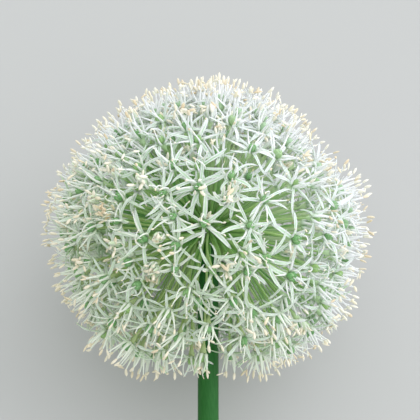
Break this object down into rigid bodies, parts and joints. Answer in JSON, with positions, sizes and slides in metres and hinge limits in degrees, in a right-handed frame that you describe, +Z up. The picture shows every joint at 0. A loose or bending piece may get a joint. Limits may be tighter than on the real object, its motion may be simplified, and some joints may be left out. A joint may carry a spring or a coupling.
{
  "type": "allium flower head",
  "caption": "Round white allium flower head on a short cut green stem, lying down, with star-shaped florets on long stalks that spread from the top of the stem.",
  "frame": {"origin": "on the surface that the flower lies on, under the middle of its whole box", "axes": "+Z up from the surface, the cut stem points along -Y and slopes down to the surface, +X to the right as seen from the stem's end"},
  "size_m": [0.1502, 0.2078, 0.1437],
  "materials": {
    "stem_green": "smooth waxy living green stem, deep green",
    "stalk_green": "fresh satin green stalks and ovaries",
    "petal_white": "soft matt white petals with a cool green tint and cream anthers"
  },
  "bodies": {
    "root": {"stem": "stem_green", "stalks": "stalk_green", "florets": "petal_white"}
  },
  "joints": []
}
